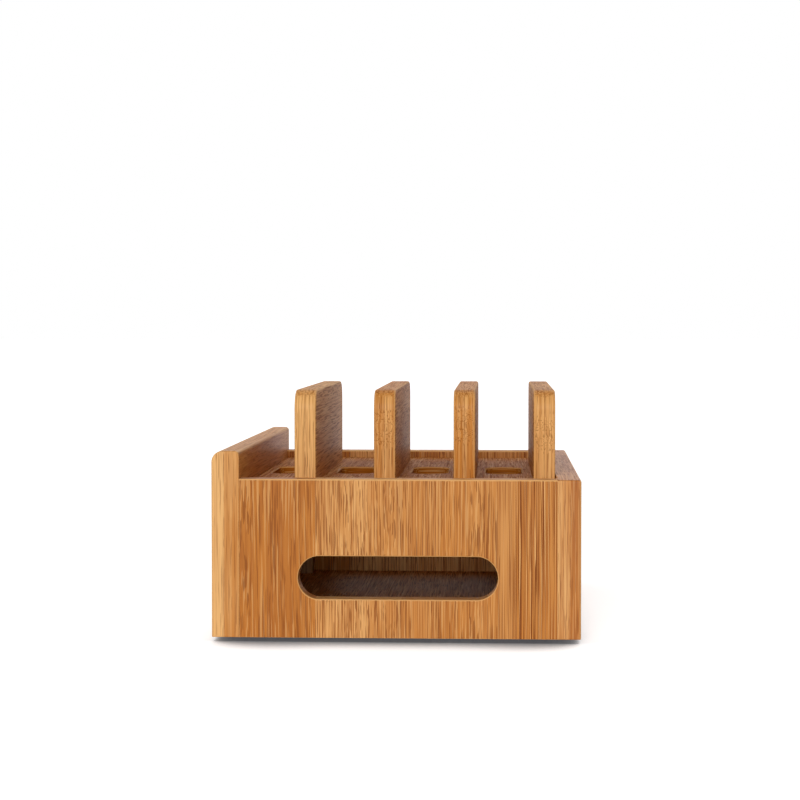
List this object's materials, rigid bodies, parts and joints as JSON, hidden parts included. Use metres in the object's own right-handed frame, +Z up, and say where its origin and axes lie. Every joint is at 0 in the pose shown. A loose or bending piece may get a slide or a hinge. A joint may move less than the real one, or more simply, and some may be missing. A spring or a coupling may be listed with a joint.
{
  "type": "charging station organizer",
  "caption": "Bamboo box for a hidden charger, with long cable slots in its ends, a raised front lip and a lift-out deck whose upright dividers hold phones and tablets.",
  "frame": {"origin": "on the surface that the box stands on, under the middle of its outline", "axes": "+Z up; -Y towards the raised front board; +X along the device lanes, towards the right side panel"},
  "size_m": [0.172, 0.133, 0.0901],
  "materials": {
    "bamboo": "edge-laminated bamboo under satin clear varnish",
    "block_wood": "sanded bamboo, unvarnished",
    "dowel_wood": "turned beech",
    "screw_steel": "zinc-plated steel",
    "foot_rubber": "matt black rubber"
  },
  "bodies": {
    "box": {"front_board": "bamboo", "back_board": "bamboo", "right_side_panel": "bamboo", "left_side_panel": "bamboo", "base_panel": "bamboo", "corner_block_front_right": "block_wood", "corner_block_front_left": "block_wood", "corner_block_back_right": "block_wood", "corner_block_back_left": "block_wood", "corner_dowels": "dowel_wood", "base_screws": "screw_steel", "foot_front_right": "foot_rubber", "foot_front_left": "foot_rubber", "foot_back_right": "foot_rubber", "foot_back_left": "foot_rubber"},
    "lift_out_deck": {"deck_panel": "bamboo", "divider_1": "bamboo", "divider_2": "bamboo", "divider_3": "bamboo", "divider_4": "bamboo", "divider_screws": "screw_steel"}
  },
  "joints": [
    {"name": "deck_lift", "type": "slide", "parent": "box", "child": "lift_out_deck", "axis": [0, 0, 1], "range_m": [0, 0.06]}
  ]
}
